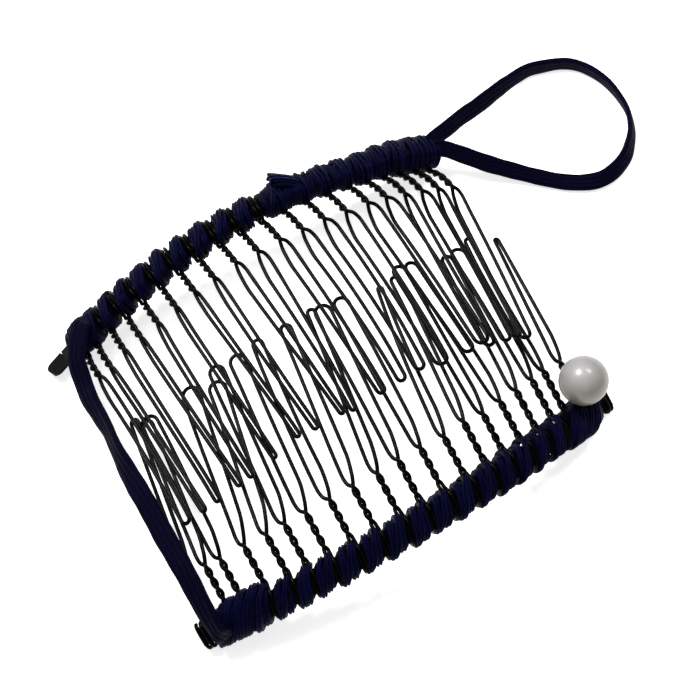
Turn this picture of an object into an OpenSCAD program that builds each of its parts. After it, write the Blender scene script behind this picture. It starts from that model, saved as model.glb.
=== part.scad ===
// Hair clip made of two arched wire combs that face each other.
// Each comb is a flat metal strip bound with navy cord, with twenty wire hairpins
// hooked round it. A flat elastic joins the left ends, and an elastic loop at the
// upper comb's right end goes round the pearl on the lower comb.
// X runs along the combs, Y from the lower comb to the upper one, Z up.

/* [Combs] */
// Radius that each comb's strip is bent to
arch_r = 95; // [85:1:120]
// Half the length over which the arch is measured
chord_half = 40; // [36:1:42]
// How far each arch leans outwards from upright, in degrees
lean = 24.5; // [20:0.5:32]
// Half the distance between the two arches' feet
comb_y = 33.6; // [32:0.1:36]
// How far each comb is shifted along X, the upper one to the right
comb_shift = 2; // [0:0.5:4]
// Height of the arches' feet above the surface the clip lies on
foot_z = 5.3; // [5.2:0.1:8]

/* [Teeth] */
// Diameter of the wire
wire_d = 0.8; // [0.6:0.05:0.8]
// Spacing of the teeth at the middle of a comb
pitch = 5.1; // [5:0.05:5.3]
// How much closer the teeth stand towards the ends
squeeze = 0.7; // [0.6:0.05:0.75]
// Distance from the strip's middle to the fork of a tooth
fork_reach = 12.2; // [10:0.1:13]
// Length of the upper comb's hairpins at its middle
upper_hairpin = 39; // [36:0.5:41]
// Length of the lower comb's hairpins at its middle
lower_hairpin = 37; // [34:0.5:39]
// Slope that keeps the upper hairpins over the lower ones, in degrees
hairpin_slope = 2; // [1.8:0.1:2.5]

/* [Spines] */
// Width of the flat strip
strip_w = 3.8; // [3.4:0.1:4]
// Thickness of the flat strip
strip_t = 0.8; // [0.6:0.1:0.9]
// Length of the bare tail at the upper comb's left end
tail_len = 4.3; // [3:0.1:8]
// Sideways turn of the bare tail, towards the teeth, in degrees
tail_turn = 18; // [0:1:20]
// Half width of the bound cord between two teeth
bulge_w = 3.3; // [3.2:0.05:3.6]
// Half thickness of the bound cord between two teeth
bulge_t = 2.45; // [2.2:0.05:2.8]

/* [Pearl] */
// Diameter of the pearl
pearl_d = 10; // [8:0.1:10.2]
// Diameter of the thread that holds it
thread_d = 1.1; // [0.8:0.1:1.4]

/* [Elastics] */
// Width of the flat elastic that joins the left ends
band_w = 4.2; // [3.6:0.1:4.4]
// Width of the loop's flat elastic
loop_w = 3.7; // [3.2:0.1:4]
// Thickness of both elastics
elastic_t = 1.3; // [1:0.1:1.4]

/* [Hidden] */
teeth = 20;
wire_r = wire_d / 2;
wire_sides = 5;
// Half the distance between the two wires of a stem
wire_pair = 0.43;
// Bound cord under the wires: half width, half thickness
groove_w = 2.35;
groove_t = 1.3;
// Half length of a groove, and the length of its shoulder
groove_len = 0.9;
shoulder_len = 0.25;
// Wire hook round the cord: half width, half thickness
hook_w = groove_w + 0.53;
hook_t = groove_t + 0.53;
gap = 0.1;
// Turn about X and Y that brings all four corners down to the surface, in degrees
turn_x = -0.3;
turn_y = -0.75;
// Places the middle of the clip, elastics left out, on the origin
centre_x = 0;
centre_y = -0.8;

NUMBERS = ["01", "02", "03", "04", "05", "06", "07", "08", "09", "10",
           "11", "12", "13", "14", "15", "16", "17", "18", "19", "20"];
OTHERS = ["upper_strip", "lower_strip", "upper_wrap", "lower_wrap", "cord_knot",
          "left_coil", "right_coil", "pearl", "pearl_thread", "hinge_band", "closing_loop"];

navy = [0.07, 0.07, 0.2];
wire_black = [0.06, 0.06, 0.06];
strip_grey = [0.16, 0.16, 0.16];
// How far the pearl's thread stands out towards the binding
thread_out = 0.15;
pearl_white = [0.86, 0.84, 0.82];

// One row for each upper tooth from the left, in mm: how far its tip stands to the side
// of the comb's plan, half the distance between its wires near the fork and at the tip,
// how far it bows sideways, how much longer it is, how far its root is shifted along the
// comb and its fork away from it, and how far its tip is lifted off the layer
TIP = 0;
HALF = 1;
TIP_HALF = 2;
BOW = 3;
LONGER = 4;
ROOT = 5;
REACH = 6;
LIFT = 7;
upper_rows = [
    [-1.4, 0.85, 0.80, 0.5, -0.4, 0.0, -0.4, 1.3], [-0.2, 0.50, 0.45, 0.2, -0.3, -0.4, 0.0, 1.4],
    [-0.6, 0.55, 0.45, 0.1, 0.4, -0.1, -1.0, 0.0], [0.6, 0.45, 0.45, 0.0, -0.2, -0.1, 0.0, 0.0],
    [-0.7, 0.65, 0.45, -0.2, 0.0, -0.1, 0.0, 0.0], [0.5, 0.55, 0.45, -0.1, -0.1, 0.0, -0.3, 0.0],
    [1.9, 0.55, 0.45, 0.1, -0.8, 0.0, -0.4, 0.0], [1.1, 0.75, 0.50, -0.1, -0.1, -0.2, -0.4, 0.0],
    [1.9, 1.05, 0.40, 0.0, 0.3, 0.1, -0.6, 0.0], [-0.7, 1.25, 0.45, 0.4, 0.5, 0.0, -0.1, 0.0],
    [1.1, 1.30, 0.80, 0.4, 0.3, 0.0, -0.2, 0.0], [1.0, 1.40, 0.85, 0.7, -0.2, 0.0, 0.0, 0.0],
    [0.6, 1.60, 1.00, 0.7, -0.6, 0.1, -0.2, 0.0], [0.4, 1.70, 1.40, 0.5, 0.1, 0.1, 0.0, 0.0],
    [1.9, 1.70, 1.25, 0.0, 0.0, 0.5, -0.4, -0.3], [0.7, 1.70, 1.45, 0.3, 0.4, 0.2, -0.5, 2.6],
    [-1.4, 1.10, 1.15, -0.1, 0.1, 0.0, -0.2, -0.1], [-2.0, 1.60, 1.00, 0.2, 1.0, -0.2, 0.0, 2.3],
    [-2.3, 1.20, 0.80, -0.2, 0.3, -0.2, 0.0, 0.3], [-3.4, 1.30, 1.25, 0.1, 0.7, -0.2, 0.0, -0.7]];
// The same for the lower teeth
lower_rows = [
    [-0.2, 0.70, 0.75, 0.0, -0.7, 0.0, 0.0, -0.2], [-1.1, 1.00, 1.00, 0.0, -1.6, 0.0, -0.2, -2.8],
    [-3.8, 1.10, 1.65, -0.1, -2.4, -0.6, -0.3, 0.8], [1.1, 1.10, 1.70, 0.0, -1.3, 0.4, -0.2, 0.0],
    [2.0, 1.15, 1.65, -0.1, -2.3, 0.7, -0.2, -2.1], [-1.0, 1.25, 1.45, 0.0, -0.8, 0.1, 0.0, 0.0],
    [-0.7, 1.30, 1.55, 0.1, -1.0, -0.2, 0.0, 0.0], [-0.7, 1.30, 1.00, 0.4, -0.4, 0.0, 0.0, 0.0],
    [0.8, 1.20, 1.05, 0.0, -0.3, 0.0, 0.0, 0.0], [1.5, 1.10, 0.80, -0.1, -0.3, 0.2, -0.1, 1.2],
    [-0.8, 1.05, 1.65, 0.0, -0.7, -0.1, 0.1, 0.0], [-1.5, 1.00, 1.50, -0.1, -1.1, -0.2, 0.0, 0.0],
    [2.2, 1.00, 0.50, 0.4, -1.8, 0.0, -0.6, 0.0], [1.5, 0.90, 1.00, -0.1, -1.6, 0.1, 0.0, -1.1],
    [-1.7, 1.00, 1.30, -0.1, -0.3, -0.2, -0.8, 1.1], [-3.0, 1.10, 1.30, -0.2, -0.7, -0.2, -0.5, 0.0],
    [1.0, 1.15, 1.15, -0.1, -2.4, -0.2, -0.4, 0.0], [0.7, 1.00, 1.65, -0.4, -0.8, 0.2, -0.4, -2.8],
    [0.0, 0.95, 0.85, 0.5, -1.4, 0.0, -0.2, 1.0], [2.1, 1.20, 0.45, -0.1, -2.4, 1.4, -0.8, 0.0]];

// Binding of each comb: place along it, how much wider and thicker than usual it is
// there, shift away from the teeth, and shift towards the outside of the arch
PLACE = 0;
upper_binding = [
    [-44.4, -0.4, -0.35, 0.0, 0.0], [-43.6, -0.1, -0.05, 0.0, 0.0],
    [-20.0, 0.0, 0.0, 0.0, 0.0], [0.0, 0.0, 0.0, 0.0, 0.0],
    [26.0, 0.0, 0.05, 0.1, 0.1], [32.0, 0.3, 0.6, 0.6, 0.6],
    [42.0, 0.3, 0.7, 0.9, 0.8], [44.0, 0.1, 0.5, 0.9, 0.8]];
lower_binding = [
    [-40.8, 0.2, 0.1, 0.0, 0.1], [-39.6, 0.5, 0.3, -0.2, 0.2],
    [-38.4, 0.9, 0.6, -0.5, 0.4], [-34.5, 0.9, 0.6, -0.5, 0.4], [-32.5, 0.2, 0.1, 0.0, 0.0],
    [0.0, 0.0, 0.0, 0.0, 0.0], [30.0, 0.1, 0.05, 0.0, 0.0], [36.0, 0.3, 0.2, -0.1, 0.0],
    [38.0, 0.7, 0.35, 0.0, 0.0], [44.0, 0.5, 0.35, 0.1, 0.0], [46.2, -0.4, -0.3, 0.1, 0.0]];

// Route of the elastic that joins the left ends: X, Y, Z and the turn of its flat
// side about its length, in degrees
band_route = [
    [-37.5, 34.4, 9.5, 18], [-38.4, 33.5, 9.6, 18], [-39.3, 32.4, 9.6, 19],
    [-40.2, 31.2, 9.4, 21], [-41.1, 30.0, 9.1, 24], [-42.1, 28.0, 8.5, 28],
    [-43.0, 23.5, 7.5, 30],
    [-43.5, 20.0, 7.5, 38], [-43.5, 17.0, 7.6, 46], [-43.5, 14.5, 7.7, 52],
    [-43.5, 12.0, 7.9, 58], [-43.8, 9.5, 8.1, 60], [-44.0, 7.0, 8.4, 56],
    [-44.2, 3.0, 9.0, 40], [-44.3, -2.0, 10.0, 18], [-44.3, -8.0, 10.6, 5],
    [-44.5, -14.0, 10.9, 2], [-44.5, -19.0, 11.2, 8], [-44.6, -24.0, 11.0, 20],
    [-44.8, -29.0, 10.3, 34], [-44.8, -33.0, 9.4, 46], [-44.6, -34.9, 8.8, 52]];

// Route of the closing loop, out of the upper comb's right end and back
loop_route = [
    [48.6, 35.9, 5.9, 45], [52.0, 36.6, 5.6, 45], [56.0, 37.7, 4.9, 42],
    [60.0, 38.5, 4.1, 42], [64.0, 39.5, 3.3, 45], [70.0, 41.0, 2.2, 58],
    [76.0, 41.8, 1.5, 70], [80.0, 41.0, 1.2, 78], [84.0, 39.5, 1.1, 84],
    [86.7, 37.3, 1.1, 88], [88.7, 34.0, 1.1, 92], [89.9, 30.0, 1.1, 95],
    [90.1, 25.5, 1.1, 100], [89.5, 21.5, 1.1, 106], [87.7, 17.6, 1.1, 114],
    [85.3, 14.8, 1.1, 124], [82.5, 12.6, 1.0, 134], [78.5, 11.2, 0.8, 146],
    [75.0, 11.2, 0.5, 158], [71.5, 12.6, 0.3, 168], [68.0, 15.0, 0.2, 174],
    [64.5, 18.1, 0.4, 172], [60.0, 22.1, 1.4, 166], [55.5, 25.8, 3.1, 156],
    [51.5, 29.6, 4.7, 144], [48.4, 32.6, 5.7, 135]];

function unit(v) = v / norm(v);
function tooth_x(i) = let (m = (teeth - 1) / 2, k = (i - m) / m) pitch * (i - m) - squeeze * m * k * k * k;
function tooth_row(side, i) = side > 0 ? upper_rows[i] : lower_rows[i];
function root_x(side, i) = tooth_x(i) + tooth_row(side, i)[ROOT];
// Height of the arch above its feet, in its own plane
function arch_h(x) = sqrt(arch_r * arch_r - x * x) - sqrt(arch_r * arch_r - chord_half * chord_half);
// Plane of the arch: up in it, and the way its teeth point
function arch_up(side) = [0, side * sin(lean), cos(lean)];
function arch_in(side) = [0, -side * cos(lean), sin(lean)];
function comb_foot(side) = [side * comb_shift, side * comb_y, foot_z];

// From the level clip's coordinates to where it settles on the surface
function settle(p) = p + cross([turn_x, turn_y, 0] * PI / 180, p) + [centre_x, centre_y, 0];

// A point of a comb: at x along the arch, then towards the tooth's tip, away from
// the arch's centre, and along the arch
function comb_point(side, x, inward, outward, along = 0) =
    let (s = asin(x / arch_r), up = arch_up(side))
    let (radial = sin(s) * [1, 0, 0] + cos(s) * up, tangent = cos(s) * [1, 0, 0] - sin(s) * up)
    settle(comb_foot(side) + [x, 0, 0] + arch_h(x) * up
           + inward * arch_in(side) + outward * radial + along * tangent);

// A point of a hairpin: t from the fork to the tip, w to its right
function hairpin_length(side, i) =
    let (k = (i - 9.5) / 9.5, row = tooth_row(side, i))
    (side > 0 ? upper_hairpin : lower_hairpin) - (side > 0 ? 1.7 : 3) * k * k + row[LONGER];
function hairpin_angle(side, i) =
    side > 0 ? -1 - 3.5 * (i - 9.5) / 9.5 : 7.5 - 2.5 * (i - 9.5) / 9.5;
function hairpin_point(side, i, t, w) =
    let (row = tooth_row(side, i), length = hairpin_length(side, i), along = t / length)
    let (a = hairpin_angle(side, i), u = root_x(side, i), reach = fork_reach + row[REACH])
    let (fork = comb_foot(side) + [u, 0, 0] + arch_h(u) * arch_up(side) + reach * arch_in(side))
    let (d = unit([length * sin(a) + row[TIP], -side * length * cos(a)]))
    let (v = w + side * row[BOW] * 4 * along * (1 - along))
    let (x = fork[0] + t * d[0] - side * v * d[1], y = fork[1] + t * d[1] + side * v * d[0])
    // Both layers follow one dome, so the teeth leave their own comb's arch
    let (plan_x = x - side * comb_shift * (1 - along))
    settle([x, y, foot_z + arch_h(plan_x) * cos(lean) + reach * sin(lean)
                  + side * t * sin(hairpin_slope) + row[LIFT] * along]);

// Section of the binding, as half width and half thickness with cut corners
function binding_ring(a, b, da = 0, db = 0) = [
    [a + da, -b / 2 + db], [a + da, b / 2 + db], [0.72 * a + da, b + db],
    [-0.72 * a + da, b + db], [-a + da, b / 2 + db], [-a + da, -b / 2 + db],
    [-0.72 * a + da, -b + db], [0.72 * a + da, -b + db]];

// Sweeps: tangents, normals carried along without twist, and the tube itself
function tangents(p) = [for (i = [0:len(p) - 1]) unit(p[min(i + 1, len(p) - 1)] - p[max(i - 1, 0)])];
function square_to(v, t) = unit(v - (v * t) * t);
function normals(t, first) =
    [for (i = 0, n = square_to(first, t[0]); i < len(t);
          i = i + 1, n = i < len(t) ? square_to(n, t[i]) : n) n];
function tube_faces(rings, sides) = concat(
    [[for (k = [0:sides - 1]) k]],
    [for (i = [0:rings - 2], k = [0:sides - 1])
        let (m = (k + 1) % sides)
        [i * sides + k, (i + 1) * sides + k, (i + 1) * sides + m, i * sides + m]],
    [[for (k = [sides - 1:-1:0]) (rings - 1) * sides + k]]);

module wire(path) {
    t = tangents(path);
    n = normals(t, [1, 0, 0]);
    points = [for (i = [0:len(path) - 1], k = [0:wire_sides - 1])
        let (a = 360 * k / wire_sides)
        path[i] + wire_r * (cos(a) * n[i] + sin(a) * cross(t[i], n[i]))];
    polyhedron(points, tube_faces(len(path), wire_sides), convexity = 6);
}

module flat_cord(route, width) {
    path = [for (r = route) settle([r[0], r[1], r[2]])];
    t = tangents(path);
    section = [[0.5, 0.28], [0.38, 0.5], [-0.38, 0.5], [-0.5, 0.28],
               [-0.5, -0.28], [-0.38, -0.5], [0.38, -0.5], [0.5, -0.28]];
    points = [for (i = [0:len(path) - 1], q = section)
        let (level = square_to(cross(t[i], [0, 0, 1]), t[i]), rise = cross(t[i], level))
        let (a = route[i][3], across = cos(a) * level + sin(a) * rise)
        path[i] + width * q[0] * across + elastic_t * q[1] * cross(t[i], across)];
    polyhedron(points, tube_faces(len(path), len(section)), convexity = 6);
}

// Wire of one tooth: hooked over the binding, down the stem, round the hairpin's
// tip, back up the stem and over the binding again
module tooth(side, i) {
    x = root_x(side, i);
    w = tooth_row(side, i)[HALF];
    end = tooth_row(side, i)[TIP_HALF];
    straight = hairpin_length(side, i) - end;
    function width(t) = w + (end - w) * max(0, t - 3) / (straight - 3);
    // The leg on the hand that leaves the stem sharply, then the gentle one
    sharp = [[0, wire_pair], [1, 0.75 * w + 0.05], [3, w], [15, width(15)], [straight, end]];
    gentle = [[0, -wire_pair], [2.5, -0.5 * w - 0.05], [7, -width(7)], [16, -width(16)],
              [straight, -end]];
    tip = [for (a = [45, 90, 135]) [straight + end * sin(a), end * cos(a)]];
    pin = [for (q = concat(sharp, tip, [for (k = [4:-1:0]) gentle[k]]))
        hairpin_point(side, i, q[0], side * q[1])];
    hook = [[0.72 * hook_w, hook_t], [-0.72 * hook_w, hook_t], [-hook_w - 0.47, 0],
            [-0.72 * hook_w, -hook_t]];
    function hooked(e) = concat([comb_point(side, x, hook_w + 0.6, 0, e * side * wire_pair)],
        [for (q = hook) comb_point(side, x, q[0], q[1], e * side * wire_pair)]);
    start = hooked(1);
    color(wire_black) wire(concat([for (k = [4:-1:0]) start[k]], pin, hooked(-1)));
}

// Puts a solid drawn flat, with the arch in its XY plane, where a comb is
module on_comb(side) {
    translate([centre_x, centre_y, 0]) rotate([turn_x, turn_y, 0]) translate(comb_foot(side))
        mirror([0, side > 0 ? 0 : 1, 0]) rotate([90 - lean, 0, 0])
            translate([0, -sqrt(arch_r * arch_r - chord_half * chord_half), 0]) children();
}

// Flat strip bent edge to edge along the arch, from one place to another
module strip_arc(side, from, to) {
    a0 = asin(from / arch_r);
    a1 = asin(to / arch_r);
    on_comb(side) rotate([0, 0, 90 - a1]) rotate_extrude(angle = a1 - a0, $fn = 96)
        translate([arch_r, 0]) square([strip_t, strip_w], center = true);
}

module upper_strip() {
    start = -45.3;
    bend = 11;
    color(strip_grey) union() {
        strip_arc(1, start, 43.6);
        on_comb(1) translate([start, sqrt(arch_r * arch_r - start * start), 0])
            rotate([0, 0, 180 + bend]) rotate([0, -tail_turn, 0]) rotate([90, 0, 0])
                linear_extrude(strip_t, center = true)
                difference() {
                    union() {
                        translate([-0.2, -strip_w / 2]) square([tail_len - 1.3, strip_w]);
                        translate([tail_len - 1.6, 0]) circle(strip_w / 2, $fn = 48);
                    }
                    translate([tail_len, -strip_w]) square([strip_w, 2 * strip_w]);
                }
    }
}

module lower_strip() {
    color(strip_grey) strip_arc(-1, -45.7, 50);
}

// Cord bound round a strip: thick between the teeth, drawn in under each hook
module binding(side, rows) {
    function column(c) = [for (r = rows) [r[PLACE], r[c]]];
    first = rows[0][PLACE];
    last = rows[len(rows) - 1][PLACE];
    inside = [for (i = [0:teeth - 1]) root_x(side, i)];
    grooves = [for (x = inside) if (x - groove_len > first + shoulder_len && x + groove_len < last) x];
    far = groove_len + shoulder_len;
    steps_in = [[-far, 1], [-groove_len, 0], [groove_len, 0], [far, 1]];
    places = concat([[first, 1], [first + 0.6, 1]],
        [for (x = grooves, e = steps_in)
            if (x + e[0] > first + 0.8 && x + e[0] < last - 0.8) [x + e[0], e[1]]],
        [[last - 0.6, 1], [last, 1]]);
    outer = [for (s = places)
        let (x = s[0], bulge = s[1] > 0)
        let (a = bulge ? bulge_w + lookup(x, column(1)) : groove_w)
        let (b = bulge ? bulge_t + lookup(x, column(2)) : groove_t)
        let (da = bulge ? -lookup(x, column(3)) : 0, db = bulge ? lookup(x, column(4)) : 0)
        for (q = binding_ring(a, b, da, db)) comb_point(side, x, q[0], q[1])];
    bore_w = strip_w / 2 + gap;
    bore_t = strip_t / 2 + gap;
    bore_ring = [[bore_w, -bore_t], [bore_w, bore_t], [-bore_w, bore_t], [-bore_w, -bore_t]];
    steps = 22;
    bore = [for (i = [0:steps]) let (x = first + (last - first) * i / steps)
        for (q = bore_ring) comb_point(side, x, q[0], q[1])];
    n = len(places);
    m = 8 * n;
    sides = [for (i = [0:n - 2], k = [0:7]) let (j = (k + 1) % 8)
        [8 * i + k, 8 * i + j, 8 * i + 8 + j, 8 * i + 8 + k]];
    walls = [for (i = [0:steps - 1], k = [0:3]) let (j = (k + 1) % 4)
        [m + 4 * i + k, m + 4 * i + 4 + k, m + 4 * i + 4 + j, m + 4 * i + j]];
    // Flat end between the eight outer corners and the four of the bore
    lid = [for (k = [0:3]) let (a = 2 * k, j = (k + 1) % 4) each [
        [[0, a], [1, k], [1, j], [0, a + 1]], [[0, a + 1], [1, j], [0, (a + 2) % 8]]]];
    function lid_face(f, o, b) = [for (v = f) v[0] == 0 ? o + v[1] : b + v[1]];
    near_end = [for (f = lid) lid_face(f, 0, m)];
    far_end = [for (f = lid) let (g = lid_face(f, 8 * (n - 1), m + 4 * steps))
        [for (i = [len(g) - 1:-1:0]) g[i]]];
    all_faces = concat(sides, walls, near_end, far_end);
    // The lower comb is a mirror image, so its faces turn the other way
    faces = side > 0 ? all_faces : [for (f = all_faces) [for (i = [len(f) - 1:-1:0]) f[i]]];
    polyhedron(concat(outer, bore), faces, convexity = 8);
}

module upper_wrap() {
    color(navy) binding(1, upper_binding);
}

module lower_wrap() {
    color(navy) binding(-1, lower_binding);
}

// Cut end of the binding cord, which stands up from the upper comb
module cord_knot() {
    at = comb_point(1, 8.6, -1.3, 4.3);
    color(navy) translate(at) rotate([0, 0, 8]) rotate([0, 90, 0]) union() {
        translate([0, 0, -1.7]) cylinder(r = 1.7, h = 3, $fn = 32);
        translate([0, 0, 1.3]) cylinder(r1 = 1.7, r2 = 0.8, h = 1.2, $fn = 32);
    }
}

// Turns of the wire's end round the lower strip, from a place on it
module coil(first, steps) {
    ring = binding_ring(strip_w / 2 + wire_r + 0.25, strip_t / 2 + wire_r + 0.4);
    path = [for (k = [0:steps]) let (q = ring[k % 8])
        comb_point(-1, first + 0.11 * k, q[0], q[1])];
    color(wire_black) wire(path);
}

module left_coil() {
    coil(-45.2, 18);
}

module right_coil() {
    coil(47.6, 13);
}

function pearl_centre() = comb_point(-1, 41.3, 7.2, 5.75);

// Turns the bore's axis into the way from the pearl to the binding under it
module at_pearl() {
    way = unit(comb_point(-1, 41.3, 0, 0) - pearl_centre());
    translate(pearl_centre()) rotate([0, acos(way[2]), atan2(way[1], way[0])]) children();
}

module pearl() {
    color(pearl_white) at_pearl() difference() {
        sphere(d = pearl_d, $fn = 64);
        cylinder(d = thread_d + 2 * gap, h = 2 * pearl_d, center = true, $fn = 32);
    }
}

// Thread through the pearl, which ends on the binding
module pearl_thread() {
    color(navy) at_pearl() translate([0, 0, 0.3 - pearl_d / 2])
        cylinder(d = thread_d, h = pearl_d - 0.3 + thread_out, $fn = 32);
}

module hinge_band() {
    color(navy) flat_cord(band_route, band_w);
}

module closing_loop() {
    color(navy) flat_cord(loop_route, loop_w);
}

for (i = [0:teeth - 1]) {
    tooth(1, i);
    tooth(-1, i);
}
upper_strip();
lower_strip();
upper_wrap();
lower_wrap();
cord_knot();
left_coil();
right_coil();
pearl();
pearl_thread();
hinge_band();
closing_loop();
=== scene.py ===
"""Elastic-hinged hair clip: two arched wire combs bound with navy cord, a flat elastic
that joins them, an elastic loop and a pearl. Lengths in the tables are millimetres."""
import math
import bpy
import numpy as np
from mathutils import Matrix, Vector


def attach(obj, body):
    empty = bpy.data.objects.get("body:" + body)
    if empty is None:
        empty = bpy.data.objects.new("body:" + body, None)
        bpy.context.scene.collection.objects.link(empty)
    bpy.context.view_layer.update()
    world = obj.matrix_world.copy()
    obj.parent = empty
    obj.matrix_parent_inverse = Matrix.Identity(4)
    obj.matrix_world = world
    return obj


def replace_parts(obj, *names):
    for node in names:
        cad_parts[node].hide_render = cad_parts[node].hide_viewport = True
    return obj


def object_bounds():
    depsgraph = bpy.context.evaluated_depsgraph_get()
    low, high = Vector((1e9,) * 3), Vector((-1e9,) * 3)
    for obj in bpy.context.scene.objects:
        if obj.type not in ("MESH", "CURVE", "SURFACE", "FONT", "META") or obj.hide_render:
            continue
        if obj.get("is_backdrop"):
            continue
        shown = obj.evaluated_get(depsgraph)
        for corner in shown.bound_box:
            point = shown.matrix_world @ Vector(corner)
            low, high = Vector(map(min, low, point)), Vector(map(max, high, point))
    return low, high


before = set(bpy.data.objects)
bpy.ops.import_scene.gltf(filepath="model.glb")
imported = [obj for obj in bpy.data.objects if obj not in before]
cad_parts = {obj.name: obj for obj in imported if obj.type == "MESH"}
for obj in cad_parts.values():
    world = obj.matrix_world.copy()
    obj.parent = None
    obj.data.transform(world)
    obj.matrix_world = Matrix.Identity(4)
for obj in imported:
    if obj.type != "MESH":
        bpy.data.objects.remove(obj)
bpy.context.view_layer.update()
MM = 0.001
FULL_TURN = 2 * math.pi
RNG = np.random.default_rng(20)

# Dimensions, as in the part's source
ARCH_R, CHORD_HALF, LEAN = 95.0, 40.0, math.radians(24.5)
COMB_Y, SHIFT, FOOT_Z = 33.6, 2.0, 5.3
PITCH, SQUEEZE, FORK_REACH = 5.1, 0.7, 12.2
TURN = np.radians([-0.3, -0.75, 0.0])
CENTRE = np.array([0.0, -0.8, 0.0])
WIRE_R = 0.4
TEETH = 20
MIDDLE = (TEETH - 1) / 2
UPPER, LOWER = 1, -1

# One row a tooth from the left, in mm: how far its tip stands to the side of the comb's plan,
# half the distance between its wires near the fork and at the tip, how far it bows
# sideways, how much longer it is, how far its root is shifted along the comb and its
# fork away from it, and how far its tip is lifted. A scratch script fitted these rows to
# the photograph, from rows estimated by hand, and the values were rounded.
TIP, HALF, TIP_HALF, BOW, LONGER, ROOT, REACH, LIFT = range(8)
ROWS = {
    UPPER: [
        (-1.4, 0.85, 0.80, 0.5, -0.4, 0.0, -0.4, 1.3), (-0.2, 0.50, 0.45, 0.2, -0.3, -0.4, 0.0, 1.4),
        (-0.6, 0.55, 0.45, 0.1, 0.4, -0.1, -1.0, 0.0), (0.6, 0.45, 0.45, 0.0, -0.2, -0.1, 0.0, 0.0),
        (-0.7, 0.65, 0.45, -0.2, 0.0, -0.1, 0.0, 0.0), (0.5, 0.55, 0.45, -0.1, -0.1, 0.0, -0.3, 0.0),
        (1.9, 0.55, 0.45, 0.1, -0.8, 0.0, -0.4, 0.0), (1.1, 0.75, 0.50, -0.1, -0.1, -0.2, -0.4, 0.0),
        (1.9, 1.05, 0.40, 0.0, 0.3, 0.1, -0.6, 0.0), (-0.7, 1.25, 0.45, 0.4, 0.5, 0.0, -0.1, 0.0),
        (1.1, 1.30, 0.80, 0.4, 0.3, 0.0, -0.2, 0.0), (1.0, 1.40, 0.85, 0.7, -0.2, 0.0, 0.0, 0.0),
        (0.6, 1.60, 1.00, 0.7, -0.6, 0.1, -0.2, 0.0), (0.4, 1.70, 1.40, 0.5, 0.1, 0.1, 0.0, 0.0),
        (1.9, 1.70, 1.25, 0.0, 0.0, 0.5, -0.4, -0.3), (0.7, 1.70, 1.45, 0.3, 0.4, 0.2, -0.5, 2.6),
        (-1.4, 1.10, 1.15, -0.1, 0.1, 0.0, -0.2, -0.1), (-2.0, 1.60, 1.00, 0.2, 1.0, -0.2, 0.0, 2.3),
        (-2.3, 1.20, 0.80, -0.2, 0.3, -0.2, 0.0, 0.3), (-3.4, 1.30, 1.25, 0.1, 0.7, -0.2, 0.0, -0.7)],
    LOWER: [
        (-0.2, 0.70, 0.75, 0.0, -0.7, 0.0, 0.0, -0.2), (-1.1, 1.00, 1.00, 0.0, -1.6, 0.0, -0.2, -2.8),
        (-3.8, 1.10, 1.65, -0.1, -2.4, -0.6, -0.3, 0.8), (1.1, 1.10, 1.70, 0.0, -1.3, 0.4, -0.2, 0.0),
        (2.0, 1.15, 1.65, -0.1, -2.3, 0.7, -0.2, -2.1), (-1.0, 1.25, 1.45, 0.0, -0.8, 0.1, 0.0, 0.0),
        (-0.7, 1.30, 1.55, 0.1, -1.0, -0.2, 0.0, 0.0), (-0.7, 1.30, 1.00, 0.4, -0.4, 0.0, 0.0, 0.0),
        (0.8, 1.20, 1.05, 0.0, -0.3, 0.0, 0.0, 0.0), (1.5, 1.10, 0.80, -0.1, -0.3, 0.2, -0.1, 1.2),
        (-0.8, 1.05, 1.65, 0.0, -0.7, -0.1, 0.1, 0.0), (-1.5, 1.00, 1.50, -0.1, -1.1, -0.2, 0.0, 0.0),
        (2.2, 1.00, 0.50, 0.4, -1.8, 0.0, -0.6, 0.0), (1.5, 0.90, 1.00, -0.1, -1.6, 0.1, 0.0, -1.1),
        (-1.7, 1.00, 1.30, -0.1, -0.3, -0.2, -0.8, 1.1), (-3.0, 1.10, 1.30, -0.2, -0.7, -0.2, -0.5, 0.0),
        (1.0, 1.15, 1.15, -0.1, -2.4, -0.2, -0.4, 0.0), (0.7, 1.00, 1.65, -0.4, -0.8, 0.2, -0.4, -2.8),
        (0.0, 0.95, 0.85, 0.5, -1.4, 0.0, -0.2, 1.0), (2.1, 1.20, 0.45, -0.1, -2.4, 1.4, -0.8, 0.0)],
}
# Length of the middle hairpins, and how much shorter the outermost ones are
HAIRPIN = {UPPER: (39.0, 1.7), LOWER: (37.0, 3.0)}
# Way that the middle hairpins point, and how much the outermost ones differ, in degrees
HAIRPIN_WAY = {UPPER: (-1.0, -3.5), LOWER: (7.5, -2.5)}
SLOPE = math.radians(2)

# Routes of the two elastics: X, Y, Z and the turn of the flat side in degrees
BAND_ROUTE = [
    (-37.5, 34.4, 9.5, 18), (-38.4, 33.5, 9.6, 18), (-39.3, 32.4, 9.6, 19),
    (-40.2, 31.2, 9.4, 21), (-41.1, 30.0, 9.1, 24), (-42.1, 28.0, 8.5, 28), (-43.0, 23.5, 7.5, 30),
    (-43.5, 20.0, 7.5, 38), (-43.5, 17.0, 7.6, 46), (-43.5, 14.5, 7.7, 52),
    (-43.5, 12.0, 7.9, 58), (-43.8, 9.5, 8.1, 60), (-44.0, 7.0, 8.4, 56),
    (-44.2, 3.0, 9.0, 40), (-44.3, -2.0, 10.0, 18), (-44.3, -8.0, 10.6, 5),
    (-44.5, -14.0, 10.9, 2), (-44.5, -19.0, 11.2, 8), (-44.6, -24.0, 11.0, 20),
    (-44.8, -29.0, 10.3, 34), (-44.8, -33.0, 9.4, 46), (-44.6, -34.9, 8.8, 52)]
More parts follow.
